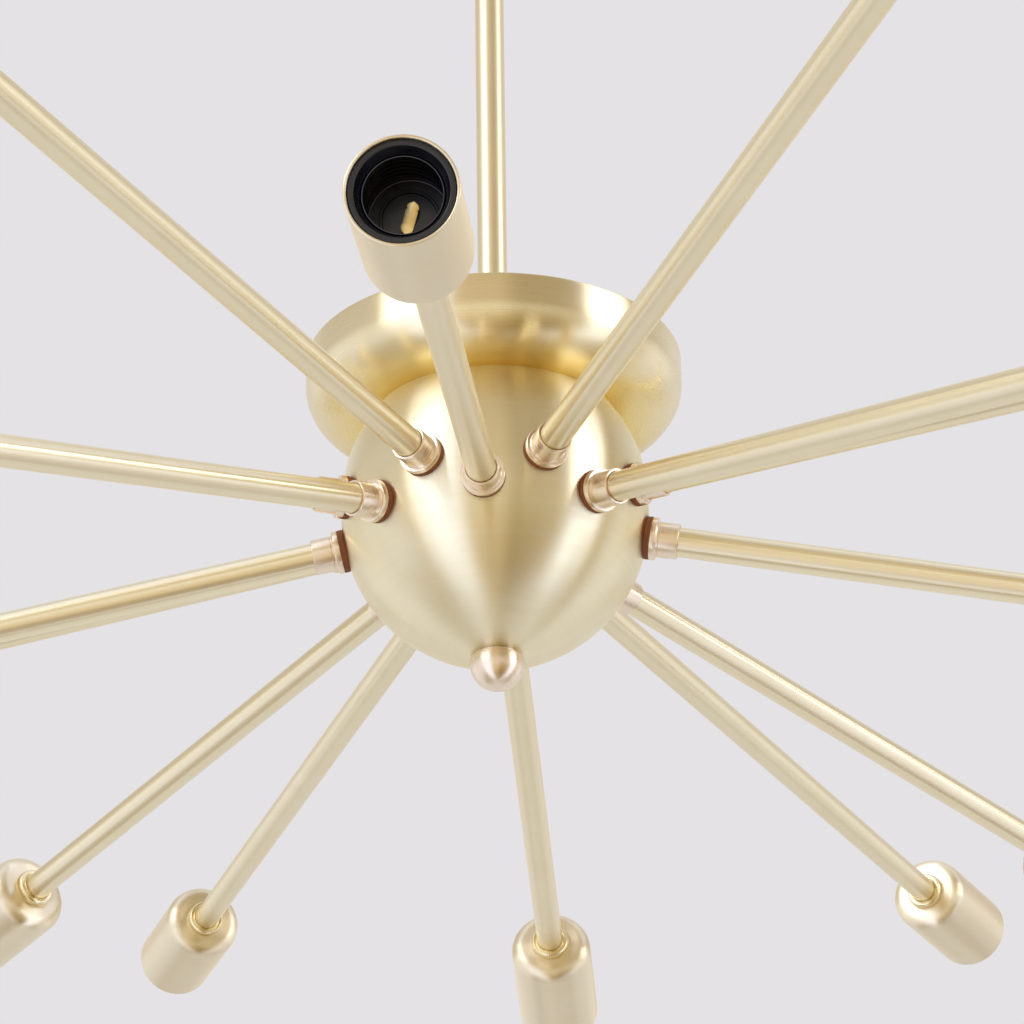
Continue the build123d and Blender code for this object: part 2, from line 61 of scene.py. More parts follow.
# %% Shared sizes
MM = 0.001
FIT = 0.1                 # clearance between parts that go together
SHEET = 1.2               # wall of the dish, the canopy and the cups
HUB_Z = -425.297          # the spot that all sixteen arms point at
HUB_R = 66.5
BAND = 6.0                # straight band between the two halves of the bowl
MOUTH_R = 52.9
HOLE_R = 5.1              # holes that rods and shanks pass through
DISH_FLOOR = -379.0
FLANGE_R = 9.3
FLANGE_SEAT = 68.5        # where the flange meets its washer, from the hub's centre
COLLAR_R = 7.65
TUBE_R = 6.35
TUBE_START = 71.5         # where a tube ends in its collar
TUBE_TAIL = 11.0          # threaded end of the tube, past the back of the cup
CUP_R = 19.75
CUP_LENGTH = 66.0
CAVITY = 30.0             # depth of the holder's cavity, below the mouth of the cup
ROD_R = 4.8
ROD_BORE = 3.0
STEM_R = 6.6
PIVOT_Z = -53.8
SQUARE = ((-1, -1), (1, -1), (1, 1), (-1, 1))
hub = Vector((0, 0, HUB_Z * MM))
lowest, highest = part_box("hub_bowl")
print("bowl in the frame, mm:", [round(v / MM, 2) for v in (lowest.z, highest.z, highest.x)])

# %% [markdown]
# ## Where the arms point
# Two rows of eight arms leave the same spot. The lower row droops by 11.25 degrees, and the
# long upper row sags by a hair. A part that repeats on every arm is made once, standing on the
# Z axis, and then copied through these matrices: X runs sideways, Y up and Z out along the arm.

# %% Matrices of the two rows
def arm_matrices(droop, first):
    """One matrix per arm, from the standing part to its place on the hub."""
    made = []
    for index in range(8):
        turn = radians(first + 45 * index)
        tilt = radians(droop)
        level = cos(tilt)
        out = Vector((level * sin(turn), -level * cos(turn), -sin(tilt)))
        side = Vector((cos(turn), sin(turn), 0))
        up = out.cross(side)
        turned = Matrix((side, up, out)).transposed().to_4x4()
        made.append(Matrix.Translation(hub) @ turned)
    return made


rows = {
    "lower": {"droop": 11.25, "first": 0.0, "reach": 352.0},
    "upper": {"droop": 0.2, "first": 22.5, "reach": 508.0},
}
for row in rows.values():
    row["arms"] = arm_matrices(row["droop"], row["first"])
upright = [Matrix.Identity(4)]
print("arms:", {name: len(row["arms"]) for name, row in rows.items()})

# %% [markdown]
# ## A lathe
# Nearly everything on this lamp was turned, spun or drawn, so it is a body of revolution. A
# cylinder with a bevel could stand in for each piece, but a profile swept round an axis is what
# the lathe does: it gives the real contour and puts the vertices where the curves are.
# Real edges are never perfectly sharp. `eased` swaps a corner for a small arc, and that arc is
# what catches a thin line of light in the render.

# %% Profile helpers
def eased(corners, steps=3):
    """Corners as (radius, height) or (radius, height, easing); an eased corner becomes an arc."""
    made = []
    for index, corner in enumerate(corners):
        here = Vector(corner[:2])
        ease = corner[2] if len(corner) > 2 else 0
        if not ease:
            made.append(tuple(here))
            continue
        before = (Vector(corners[index - 1][:2]) - here).normalized()
        after = (Vector(corners[(index + 1) % len(corners)][:2]) - here).normalized()
        for step in range(steps + 1):
            t = step / steps
            made.append(tuple(here + before * ease * (1 - t) ** 2 + after * ease * t**2))
    return made


def stations(low, high, steps):
    """Evenly spaced values from low to high, both ends among them."""
    return [low + (high - low) * step / steps for step in range(steps + 1)]


def arc(centre_z, radius, low, high, steps):
    """Points on an arc about the axis; angles in degrees, 0 is outward and 90 is up."""
    angles = [radians(angle) for angle in stations(low, high, steps)]
    return [(radius * cos(angle), centre_z + radius * sin(angle)) for angle in angles]


def quarter(wall_r, flat_z, reach, rise, steps=10):
    """The elliptic shoulder of a spun pan, from its flat floor out and up to its wall."""
    angles = [radians(angle) for angle in stations(-90, 0, steps)]
    return [
        (wall_r - reach + reach * cos(angle), flat_z + rise + rise * sin(angle)) for angle in angles
    ]


print("an eased square corner has", len(eased([(0, 0), (5, 0, 0.5), (5, 5)])) - 2, "points")

# %% The lathe itself
ON_AXIS = 1e-6


def lathe(profile, segments=96, ripple=None, closed=True):
    """Vertices and faces of a profile turned about Z, in mm; ripple(r, z, angle) changes r."""
    points, faces, rings = [], [], []
    for radius, height in profile:
        count = 1 if radius < ON_AXIS else segments
        rings.append((len(points), count))
        for index in range(count):
            angle = 2 * pi * index / segments
            r = ripple(radius, height, angle) if ripple and radius > 0 else radius
            points.append((r * cos(angle), r * sin(angle), height))
    pairs = list(zip(rings, rings[1:])) + ([(rings[-1], rings[0])] if closed else [])
    for (first, first_count), (second, second_count) in pairs:
        for index in range(segments):
            following = (index + 1) % segments
            near = (first + index % first_count, first + following % first_count)
            far = (second + following % second_count, second + index % second_count)
            corners = tuple(dict.fromkeys(near + far))
            if len(corners) > 2:
                faces.append(corners)
    return np.array(points, float), faces


print("a plain washer has", len(lathe([(2, 0), (4, 0), (4, 1), (2, 1)])[1]), "faces")

# %% [markdown]
# ## From blank to piece
# A blank becomes one Blender object, with a copy at each matrix that it is given. Two facts are
# stored on its points for the finishes: `own`, the place on the part as it stood on the lathe,
# and `around`, the direction round its axis. UV maps could carry the same facts, but they need a
# seam and stretch at the poles; attributes don't. The piece then rides on its body, which makes
# it swing with the lamp, and stands for the plain part of the frame.

# %% Turn a blank into a piece
APART = 0.37              # metres between two copies in `own`, so that no two have the same marks


def store(mesh, name, values):
    """A vector for each point of the mesh, which a material can read."""
    layer = mesh.attributes.new(name, "FLOAT_VECTOR", "POINT")
    layer.data.foreach_set("vector", np.asarray(values, np.float32).ravel())


def circling(points):
    """The direction round Z at each point."""
    spin = np.stack([-points[:, 1], points[:, 0], np.zeros(len(points))], axis=1)
    length = np.linalg.norm(spin, axis=1, keepdims=True)
    return np.where(length > 1e-9, spin / np.maximum(length, 1e-9), [[1.0, 0.0, 0.0]])


def placed(name, data):
    """A new object in the scene."""
    thing = bpy.data.objects.new(name, data)
    bpy.context.scene.collection.objects.link(thing)
    return thing


def settle(thing, finish, body, stands_for, sharp=34):
    """Shading, finish, body and the frame's parts that the piece stands for."""
    thing.data.shade_smooth()
    thing.data.set_sharp_from_angle(angle=radians(sharp))
    thing.data.materials.clear()
    thing.data.materials.append(finish)
    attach(thing, body)
    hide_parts(*stands_for)
    print(f"{thing.name}: {len(thing.data.polygons)} faces on {body}")


def piece(name, blank, finish, slot, *stands_for, body="fixture", places=upright, sharp=34):
    """Copies of the blank at those places, joined in one object that rides on the body."""
    points, faces = blank
    shown, own, around, all_faces = [], [], [], []
    for index, matrix in enumerate(places):
        turn = np.array(matrix.to_3x3())
        start = np.array(matrix.translation)
        all_faces += [tuple(corner + index * len(points) for corner in face) for face in faces]
        shown.append(points * MM @ turn.T + start)
        own.append(points * MM + [0, 0, APART * index])
        around.append(circling(points) @ turn.T)
    mesh = bpy.data.meshes.new(name)
    mesh.from_pydata(np.concatenate(shown).tolist(), [], all_faces)
    outward = bmesh.new()
    outward.from_mesh(mesh)
    bmesh.ops.recalc_face_normals(outward, faces=outward.faces)
    outward.to_mesh(mesh)
    outward.free()
    store(mesh, "own", np.concatenate(own))
    store(mesh, "around", np.concatenate(around))
    settle(placed(name, mesh), finish, body, stands_for, sharp)


def on_arms(name, blank, finish, slot, node, sharp=34):
    """A piece for each row, on its eight arms; a blank that differs by row is a function of the row."""
    for title, row in rows.items():
        shape = blank(row) if callable(blank) else blank
        piece(f"{name}_{title}", shape, finish, slot, f"{node}_{title}", places=row["arms"], sharp=sharp)


print("round the axis, at a point on X:", circling(np.array([[1.0, 0.0, 0.0]]))[0].tolist())

# %% [markdown]
# ## Brushed brass
# Brass is a metal, so its colour is the colour of its reflections: Metallic is 1 and Base Color
# is what a white room looks like in it. A flat roughness would look like plastic foil. Real
# satin brass is covered in fine scratches, and on spun, turned and belted parts they all run
# round the axis. They smear a reflection across themselves, so a window becomes a band that
# runs from pole to pole on the bowl, and a stripe along a tube. That is what Anisotropic does,
# with `around` as the tangent.
# The scratches themselves are noise that is squeezed hard in one direction. On a turned part the
# noise is sampled in four dimensions: height and radius change fast, the two flat directions
# slowly, so the rings close on themselves with no seam. A second, broad noise gives the slow
# drift of tone that handling and lacquer leave.

# %% Node helpers
def fresh(name):
    """A new node material: itself, its tree and its shader."""
    made = bpy.data.materials.new(name)
    made.use_nodes = True
    return made, made.node_tree, made.node_tree.nodes["Principled BSDF"]


def put(node, **values):
    """Gives a node its settings, in lower case, and its sockets, by name or as i and a number."""
    for key, value in values.items():
        numbered = key[1:].isdigit()
        if key[0].islower() and not numbered:
            setattr(node, key, value)
            continue
        socket = node.inputs[int(key[1:]) if numbered else key.replace("_", " ")]
        if isinstance(value, bpy.types.NodeSocket):
            node.id_data.links.new(value, socket)
        else:
            socket.default_value = value
    return node


def add(tree, kind, **values):
    """A new node with its settings and its sockets."""
    return put(tree.nodes.new("ShaderNode" + kind), **values)


def stored(tree, name):
    """A fact that was stored on the points."""
    return add(tree, "Attribute", attribute_name=name).outputs["Vector"]


def reckon(tree, operation, first, second):
    """Two values put through one operation of the Math node."""
    return add(tree, "Math", operation=operation, i0=first, i1=second).outputs[0]


def scaled(tree, vector, factors):
    """A vector with its three parts multiplied."""
    return add(tree, "VectorMath", operation="MULTIPLY", i0=vector, i1=factors).outputs[0]


def off_axis(tree, own):
    """How far a point lies from the axis that it was turned round."""
    return add(tree, "VectorMath", operation="LENGTH", i0=scaled(tree, own, (1, 1, 0))).outputs["Value"]


def spread(tree, value, low, high, to_low=0.0, to_high=1.0):
    """A value mapped from one range to another, clamped."""
    return add(tree, "MapRange", i0=value, i1=low, i2=high, i3=to_low, i4=to_high).outputs[0]


def blend(tree, amount, first, second, way="MIX"):
    """Two colours, each a socket or three numbers, mixed by an amount between 0 and 1."""
    first, second = ((*colour, 1) if isinstance(colour, tuple) else colour for colour in (first, second))
    mix = add(tree, "Mix", data_type="RGBA", blend_type=way, i0=amount, i6=first, i7=second)
    return mix.outputs[2]


print("materials before the first finish:", len(bpy.data.materials))

# %% Noise, scratches and relief
RING_RATIO, LINE_RATIO = 60, 180     # how many times longer than wide a scratch is
RELIEF = 0.0002                      # metres: the depth that a bump of strength 1 seems to have


def noise(tree, place, scale, detail, roughness, **fourth):
    """Cloudy noise about 0.5; given a W, it is sampled in a fourth dimension too."""
    made = add(tree, "TexNoise", noise_dimensions="4D" if fourth else "3D", Vector=place, **fourth)
    return put(made, Scale=scale, Detail=detail, Roughness=roughness).outputs[0]


def scratches(tree, own, turned, fineness):
    """Noise squeezed into rings round the axis, or into lines along it."""
    if not turned:
        return noise(tree, scaled(tree, own, (fineness, fineness, fineness / LINE_RATIO)), 1.0, 2.0, 0.7)
    squeezed = scaled(tree, own, (fineness / RING_RATIO, fineness / RING_RATIO, fineness))
    return noise(tree, squeezed, 1.0, 2.0, 0.7, W=reckon(tree, "MULTIPLY", off_axis(tree, own), fineness))


def relief(tree, strength, height):
    """A bump too fine to be worth geometry."""
    return add(tree, "Bump", Strength=strength, Distance=RELIEF, Height=height).outputs[0]


print("a ring scratch 0.4 mm wide is", 0.4 * RING_RATIO, "mm long")

# %% Brass in its several finishes
def brushed(name, bright, deep, rough, smear, turned=True, fineness=2600.0, depth=0.05, coat=0.0):
    """A metal with fine scratches round its axis, or along it when it isn't turned."""
    made, tree, shader = fresh(name)
    own = stored(tree, "own")
    tangent = add(
        tree, "VectorTransform", vector_type="VECTOR", convert_from="OBJECT", convert_to="WORLD",
        Vector=stored(tree, "around"),
    ).outputs[0]
    fine = scratches(tree, own, turned, fineness)
    long_marks = scratches(tree, own, turned, fineness / 7)
    drift = noise(tree, own, 22.0, 3.0, 0.55)
    cloud = spread(tree, drift, 0.35, 0.75, 0.0, 0.55)
    tone = reckon(tree, "ADD", cloud, spread(tree, long_marks, 0.35, 0.7, 0.0, 0.45))
    matt = spread(tree, fine, 0.3, 0.7, rough - depth, rough + depth)
    gloss = reckon(tree, "ADD", matt, spread(tree, drift, 0.3, 0.7, -0.02, 0.03))
    put(shader, Base_Color=blend(tree, tone, bright, deep), Roughness=gloss, Normal=relief(tree, depth, fine))
    put(shader, Metallic=1.0, Anisotropic=smear, Anisotropic_Rotation=0.25, Tangent=tangent)
    put(shader, Coat_Weight=coat, Coat_Roughness=0.12)
    return made


def with_painted_bounce(made, inner, outer, tone):
    """The same finish with a deeper gold painted toward the axis: painted shade and painted reflection of
    brass in brass near the bowl.
    """
    tree = made.node_tree
    shader = tree.nodes["Principled BSDF"]
    nearness = spread(tree, off_axis(tree, stored(tree, "own")), inner, outer, 1.0, 0.0)
    colour = shader.inputs["Base Color"].links[0].from_socket
    put(shader, Base_Color=blend(tree, nearness, colour, tone))


hub_brass = brushed("spun_satin_brass", (0.94, 0.86, 0.61), (0.91, 0.80, 0.51), 0.32, 1.0, depth=0.03)
dish_brass = brushed("dish_brass", (0.92, 0.82, 0.57), (0.89, 0.77, 0.48), 0.28, 0.92, depth=0.02)
cup_brass = brushed("soft_satin_brass", (0.90, 0.80, 0.59), (0.87, 0.76, 0.53), 0.33, 0.90, depth=0.008)
stem_brass = brushed("stem_brass", (0.92, 0.83, 0.60), (0.90, 0.80, 0.54), 0.42, 0.30, depth=0.004)
tube_brass = brushed("tube_brass", (0.92, 0.83, 0.59), (0.90, 0.80, 0.54), 0.30, 0.80, depth=0.004, coat=0.05)
fitting_brass = brushed(
    "turned_bright_brass", (0.92, 0.80, 0.64), (0.89, 0.75, 0.56), 0.30, 0.60, fineness=4200.0
)
plain_brass = brushed("machined_brass", (0.91, 0.80, 0.52), (0.84, 0.70, 0.41), 0.26, 0.40, fineness=3600.0)
leaf_brass = brushed(
    "spring_leaf_brass", (0.93, 0.74, 0.36), (0.88, 0.66, 0.29), 0.30, 0.0,
    turned=False, fineness=400.0, depth=0.005,
)
# painted shade and reflection: the dish is coloured deeper gold toward the bowl, where brass mirrors brass
with_painted_bounce(dish_brass, 56 * MM, 80 * MM, (0.90, 0.69, 0.25))
print("brass finishes:", [m.name for m in bpy.data.materials if m.name.endswith("brass")])

# %% [markdown]
# ## The other finishes
# The lamp holders are black phenolic. It isn't metal: it is a dark, slightly glossy plastic with
# the faint orange-peel of its mould, so its detail is in the bump and in the roughness.
# The washers under the arm fittings are vulcanised fibre, a red-brown card with pale strands.
# The hidden hardware is zinc-plated steel. The screw shells get a near-black colour, painted shade
# for the deep cavity of the cup, because the photograph shows no bright metal inside the cups.

# %% Phenolic, fibre, steel and the shells' painted shade
def phenolic():
    """Black moulded plastic."""
    made, tree, shader = fresh("black_phenolic")
    own = stored(tree, "own")
    peel = noise(tree, own, 900.0, 2.0, 0.5)
    flow = noise(tree, own, 90.0, 4.0, 0.6)
    amount = spread(tree, flow, 0.35, 0.7)
    colour = blend(tree, amount, (0.006, 0.006, 0.008), (0.014, 0.014, 0.019))
    put(shader, Base_Color=colour, Roughness=spread(tree, flow, 0.3, 0.7, 0.22, 0.40))
    put(shader, Normal=relief(tree, 0.12, peel), Coat_Weight=0.25, Coat_Roughness=0.2)
    return made


def fibre():
    """Red-brown vulcanised fibre with pale strands that lie round the washer."""
    made, tree, shader = fresh("vulcanised_fibre")
    own = stored(tree, "own")
    layers = scratches(tree, own, True, 1500.0)
    blotch = noise(tree, own, 260.0, 4.0, 0.6)
    card = blend(tree, spread(tree, blotch, 0.35, 0.7), (0.19, 0.052, 0.013), (0.29, 0.09, 0.024))
    colour = blend(tree, spread(tree, layers, 0.5, 0.8, 0.0, 0.5), card, (0.38, 0.15, 0.05))
    put(shader, Base_Color=colour, Roughness=spread(tree, blotch, 0.3, 0.7, 0.55, 0.8))
    put(shader, Normal=relief(tree, 0.3, layers))
    return made


insulator = phenolic()
washer_fibre = fibre()
zinc = brushed("zinc_plated_steel", (0.66, 0.67, 0.68), (0.52, 0.52, 0.50), 0.34, 0.2, depth=0.08)
# painted shade: the screw shells are coloured near-black to stand for the shade deep in the cup
shell_painted_shade = brushed("shell_metal_painted_shade", (0.11, 0.115, 0.145), (0.05, 0.052, 0.068), 0.30, 0.5)
print("finishes in all:", len([m for m in bpy.data.materials if m.use_nodes]))

# %% [markdown]
# ## The hub bowl
# The bowl is spun from one disc: half a sphere below, a short straight band, and a shoulder that
# closes in to the mouth. Sixteen holes are drilled in it for the arms, all pointing at one spot.
# Modelling the holes by hand would spoil the smooth curve, so the bowl is turned dense and plain
# first, and a Boolean cuts the holes, as the drill does.

# %% Drill helpers
def solid(blank, places=upright):
    """A bare mesh object from a blank, used as a drill or as stock and then thrown away."""
    points, faces = blank
    made = bmesh.new()
    for matrix in places:
        turn, start = np.array(matrix.to_3x3()), np.array(matrix.translation)
        corners = [made.verts.new(p) for p in points * MM @ turn.T + start]
        for face in faces:
            made.faces.new([corners[i] for i in face])
    bmesh.ops.recalc_face_normals(made, faces=made.faces)
    mesh = bpy.data.meshes.new("stock")
    made.to_mesh(mesh)
    made.free()
    return placed("stock", mesh)


def turned_bar(profile, places=upright, segments=96):
    """Solid turned stock."""
    return solid(lathe(profile, segments, closed=False), places)


def bar(radius, low, high):
    """The profile of a plain solid bar from low to high."""
    return [(0, low), (radius, low), (radius, high), (0, high)]


def mark(mesh, centre, axis="Z"):
    """The own and around facts for a mesh that already stands in its place."""
    points = np.empty(len(mesh.vertices) * 3, np.float32)
    mesh.vertices.foreach_get("co", points)
    points = points.reshape(-1, 3) - np.array(centre)
    if axis == "Y":
        points = np.stack([points[:, 0], points[:, 2], -points[:, 1]], axis=1)
    spin = circling(points)
    if axis == "Y":
        spin = np.stack([spin[:, 0], -spin[:, 2], spin[:, 1]], axis=1)
    store(mesh, "own", points)
    store(mesh, "around", spin)
    return mesh


def carve(name, stock, steps, centre, axis="Z"):
    """The stock after each (operation, tool) of steps, as a mesh with own and around stored."""
    for index, (operation, tool) in enumerate(steps):
        cut = stock.modifiers.new(f"cut_{index}", "BOOLEAN")
        cut.operation, cut.object, cut.solver = operation, tool, "EXACT"
    bpy.context.view_layer.update()
    shaped = stock.evaluated_get(bpy.context.evaluated_depsgraph_get())
    mesh = bpy.data.meshes.new_from_object(shaped)
    mesh.name = name
    for thing in [stock] + [tool for _, tool in steps]:
        bpy.data.objects.remove(thing)
    return mark(mesh, centre, axis)


# %% Hub bowl
inner_r = HUB_R - 1.5
mouth_high = BAND + sqrt(HUB_R**2 - MOUTH_R**2)
inner_mouth = sqrt(inner_r**2 - (mouth_high - BAND) ** 2)


def bowl_wall(radius, mouth):
    """One face of the bowl's wall, from its pole hole up to its mouth."""
    low = -degrees(acos(HOLE_R / radius))
    high = degrees(acos(mouth / radius))
    return arc(0, radius, low, 0, 44) + arc(BAND, radius, 0, high, 20)


bowl_profile = bowl_wall(HUB_R, MOUTH_R) + bowl_wall(inner_r, inner_mouth)[::-1]
bowl_stock = solid(lathe(bowl_profile, 160), [Matrix.Translation(hub)])
drills = turned_bar(bar(HOLE_R, 58, 74), rows["lower"]["arms"] + rows["upper"]["arms"], 48)
bowl = placed("bowl", carve("bowl", bowl_stock, [("DIFFERENCE", drills)], hub))
settle(bowl, hub_brass, "fixture", ["hub_bowl"])

# %% [markdown]
# ## Dish, finial and the rod that holds them
# The dish is a pan with its rim up. Its floor closes the bowl, and the ledge outside the bowl is
# where brass mirrors brass: light that bounces twice between them is tinted twice, which makes
# most of the deep gold ring under the dish. Its finish adds the rest as painted reflection and
# shade, a deeper gold painted toward the axis.
# The finial is half a ball under a short cylinder, and sits on a thin ring. The gap that the ring
# leaves makes the dark line at its top.

# %% Dish
def rim_of(outer, top, depth):
    """The rim of a pan: its sheet folded over in two small arcs."""
    inner, ease = outer - SHEET, 0.45
    return eased([(outer, top - depth), (outer, top, ease), (inner, top, ease), (inner, top - depth)])


ledge, shoulder, shoulder_rise, dish_height = 11.0, 18.6, 16.2, 28.4
dish_r = MOUTH_R + ledge + shoulder
dish_rim = DISH_FLOOR + dish_height
floor_top = DISH_FLOOR + SHEET
dish = (
    [(HOLE_R, DISH_FLOOR)]
    + quarter(dish_r, DISH_FLOOR, shoulder, shoulder_rise, 22)
    + rim_of(dish_r, dish_rim, 2.0)
    + quarter(dish_r - SHEET, floor_top, shoulder - SHEET, shoulder_rise - SHEET, 22)[::-1]
    + [(r, floor_top) for r in (60.0, 40.0, 20.0, HOLE_R)]
)
piece("dish", lathe(dish, 192), dish_brass, "hub_brass", "dish_pan")

# %% Finial and its seat ring
pole_z = HUB_Z - HUB_R
finial_top = pole_z - 0.6
rod_end = pole_z - 7.0
ball_r, ball_z = 11.5, finial_top - 2.8
cap = arc(ball_z, ball_r, -90, 0, 28) + eased([
    (ball_r, ball_z + 0.1), (ball_r, finial_top, 0.35), (9.6, finial_top), (ROD_R + FIT, finial_top),
    (ROD_R + FIT, rod_end), (0, rod_end),
])[1:]
cap[0] = (0.0, cap[0][1])
piece("finial", lathe(cap, 96), fitting_brass, "fitting_brass", "finial_cap")


def bowl_height(radius):
    """The outside of the bowl near its pole, a hair below it."""
    return HUB_Z - sqrt((HUB_R + FIT) ** 2 - radius**2)


radii = (10.2, 8.5, 6.8, HOLE_R)
seat = [(HOLE_R, finial_top), (radii[0], finial_top)] + [(r, bowl_height(r)) for r in radii]
piece("finial_seat", lathe(seat, 96), fitting_brass, "fitting_brass", "finial_seat_ring")

# %% Threads, rod and nuts inside the hub
def threaded_tube(bore, outer, low, high, pitch=1.41, depth=0.35):
    """A tube with a plain bore and an outside thread, whose crests keep the outer radius."""
    def wound(r, z, angle):
        if r < outer - 0.01 or not low + 0.1 < z < high - 0.1:
            return r
        return r - depth * (0.5 + 0.5 * cos(2 * pi * z / pitch - angle))

    rings = max(4, int((high - low) / pitch * 5))
    wall = [(outer, z) for z in stations(low, high, rings)[1:-1]]
    outline = [(bore, low), (outer - depth, low)] + wall + [(outer - depth, high), (bore, high)]
    return lathe(outline, 32, wound)


def hex_blank(flats, bore, low, high):
    """A chamfered hexagon nut, turned as a hexagon bar is: no point leaves the hexagon."""
    def limit(r, z, angle):
        return min(r, flats / 2 / cos((angle + pi / 6) % (pi / 3) - pi / 6))

    corner, flat = flats / sqrt(3), flats / 2 * 0.97
    rise, edge = (corner - flat) * 0.55, 0.3
    outline = [
        (bore, low + edge), (bore + edge, low), (flat, low), (corner, low + rise),
        (corner, high - rise), (flat, high), (bore + edge, high), (bore, high - edge),
    ]
    return lathe(outline, 96, limit)


rod_top = -356.8
rod = threaded_tube(ROD_BORE, ROD_R, rod_end, rod_top)
piece("rod", rod, plain_brass, "plain_brass", "hub_rod")
dish_hexagon = hex_blank(17.0, ROD_R + FIT, DISH_FLOOR - 5.0, DISH_FLOOR)
piece("dish_hexagon", dish_hexagon, zinc, "steel", "dish_nut", sharp=20)

# %% [markdown]
# ## Arm fittings
# Each fitting is turned from bar: a flange that presses on the washer, a collar that takes the
# tube, and a threaded shank that goes through the bowl to its locknut. The collar has a fine
# groove, and its mouth is opened by a tiny chamfer, which is the thin dark line round each tube.
# The washer is cut to the bowl. Its outer face is flat, but each point of its inner face is
# pushed out to where a line along the arm meets the bowl, so it sits with no gap.

# %% Fittings and locknuts
shank_bore, shank_start, collar_end = 3.4, 57.0, 80.5
fitting = eased([
    (shank_bore, shank_start), (4.5, shank_start), (ROD_R, 57.4), (ROD_R, FLANGE_SEAT),
    (FLANGE_R, FLANGE_SEAT, 0.25), (FLANGE_R, 71.0, 0.55), (COLLAR_R + 0.25, 71.0), (COLLAR_R, 71.25),
    (COLLAR_R, 71.9), (COLLAR_R - 0.22, 72.1), (COLLAR_R, 72.3), (COLLAR_R, collar_end, 0.5),
    (6.75, collar_end), (TUBE_R + FIT, 80.1), (TUBE_R + FIT, TUBE_START), (shank_bore, TUBE_START),
])
nut_flats, nut_height = 14.0, 4.0
nut_seat = sqrt(inner_r**2 - (nut_flats / sqrt(3)) ** 2) - 0.1
locknut = hex_blank(nut_flats, ROD_R + FIT, nut_seat - nut_height, nut_seat)
on_arms("fittings", lathe(fitting, 72), fitting_brass, "fitting_brass", "arm_fittings", 28)
on_arms("locknuts", locknut, zinc, "steel", "arm_locknuts", 20)

# %% Washers cut to the bowl
def bowl_reach(side, up, droop):
    """How far along an arm the bowl's outside lies, for a line beside the arm's axis."""
    radius = HUB_R + FIT
    out = sqrt(radius**2 - side**2 - up**2)
    tilt = radians(droop)
    for _ in range(8):
        height = up * cos(tilt) - out * sin(tilt)
        flat = out * cos(tilt) + up * sin(tilt)
        above = max(0.0, height - BAND) if height > 0 else height
        wanted = sqrt(radius**2 - side**2 - above**2)
        out += (wanted - flat) / cos(tilt)
    return out


def washer(row):
    """A fibre washer: flat outside, cut to the bowl inside, its rim squeezed into a slight bulge."""
    squeezed = ((0.1, 0.0), (0.02, 0.3), (0.0, 0.6), (0.02, 0.85), (0.12, 1.0))
    rim = [(FLANGE_R - inset, height) for inset, height in squeezed]
    inside = [(r, 0.0) for r in (HOLE_R, 6.2, 7.3, 8.4)]
    points, faces = lathe(inside + rim + [(HOLE_R, 1.0)], 96)
    for point in points:
        low = bowl_reach(point[0], point[1], row["droop"])
        point[2] = low + (FLANGE_SEAT - low) * point[2]
    return points, faces


on_arms("washers", washer, washer_fibre, "fibre", "arm_gaskets")

# %% [markdown]
# ## Arms
# The arms are drawn brass tube, belted to the same satin as the bowl. A straight cylinder is
# right for them, and what makes them look like tube is the light drawn out along them by the
# finish, the softened ends and the fit in the collar. Each arm stays a piece of its own, because
# in the lamp each one can be unscrewed.

# %% Sixteen tubes
def plain_tube(bore, outer, low, high, steps, chamfer):
    """A tube with its edges broken; the chamfer is that of its far outer edge."""
    edge = 0.2
    wall = [(outer, z) for z in stations(low, high, steps)[1:-1]]
    near = [(bore, low + edge), (bore + edge, low), (outer - edge, low), (outer, low + edge)]
    far = [(outer, high - chamfer), (outer - chamfer, high), (bore + edge, high), (bore, high - edge)]
    return near[1:] + wall + far + near[:1]


for name, row in rows.items():
    tube = lathe(plain_tube(TUBE_R - 1.0, TUBE_R, TUBE_START, row["reach"] + TUBE_TAIL, 24, 0.3), 72)
    for number, place in enumerate(row["arms"], 1):
        which = f"tube_{name}_{number}"
        piece(which, tube, tube_brass, "tube_brass", "arm_" + which, places=[place])

# %% [markdown]
# ## Lamp cups
# A cup is spun like the bowl: a flat back, a round shoulder, a straight wall and an open mouth
# whose edge is rolled smooth. A round nut with a straight knurl clamps it on the arm. The knurl
# is real relief here: the ripple of the lathe pulls the wall in between its ridges, which takes
# more vertices than a bump map, but keeps the outline notched as well.

# %% Cups and knurled nuts
def knurl(teeth, depth, from_r):
    """A ripple that cuts straight V grooves in everything beyond from_r."""
    def cut(r, z, angle):
        if r < from_r:
            return r
        phase = angle * teeth / (2 * pi) % 1.0
        return r - depth * abs(2 * phase - 1)
    return cut


def cup(row):
    """The spun cup, standing on its back."""
    hole, inner, back = TUBE_R + 0.3, CUP_R - SHEET, row["reach"]
    mouth = back + CUP_LENGTH
    wall = [(CUP_R, back + z) for z in (16.0, 28.0, 40.0, 52.0, 62.0)]
    lip = eased([(CUP_R, mouth - 1.0), (CUP_R, mouth, 0.5), (inner, mouth, 0.4), (inner, mouth - 1.0)])
    inside = [(inner, back + z) for z in (46.0, 28.0, 12.0)]
    inside += quarter(inner, back + SHEET, 6.0 - SHEET, 6.5 - SHEET, 8)[::-1]
    outside = [(hole, back)] + quarter(CUP_R, back, 6.0, 6.5, 14) + wall
    return lathe(outside + lip + inside + [(hole, back + SHEET)], 128)


def ring_nut(row):
    """The round nut with its knurled rim."""
    rim, bore, back = 9.5, TUBE_R + FIT, row["reach"]
    foot = back - 4.0
    outline = eased([
        (bore, foot + 0.25), (6.75, foot), (8.5, foot, 0.2), (9.1, foot + 0.7), (rim, foot + 1.1),
        (rim, back - 0.5), (9.1, back - 0.2), (9.1, back), (bore, back),
    ])
    return lathe(outline, 288, knurl(48, 0.32, rim - 0.2))


on_arms("cups", cup, cup_brass, "cup_brass", "lamp_cups")
on_arms("ring_nuts", ring_nut, plain_brass, "plain_brass", "cup_ring_nuts", 40)

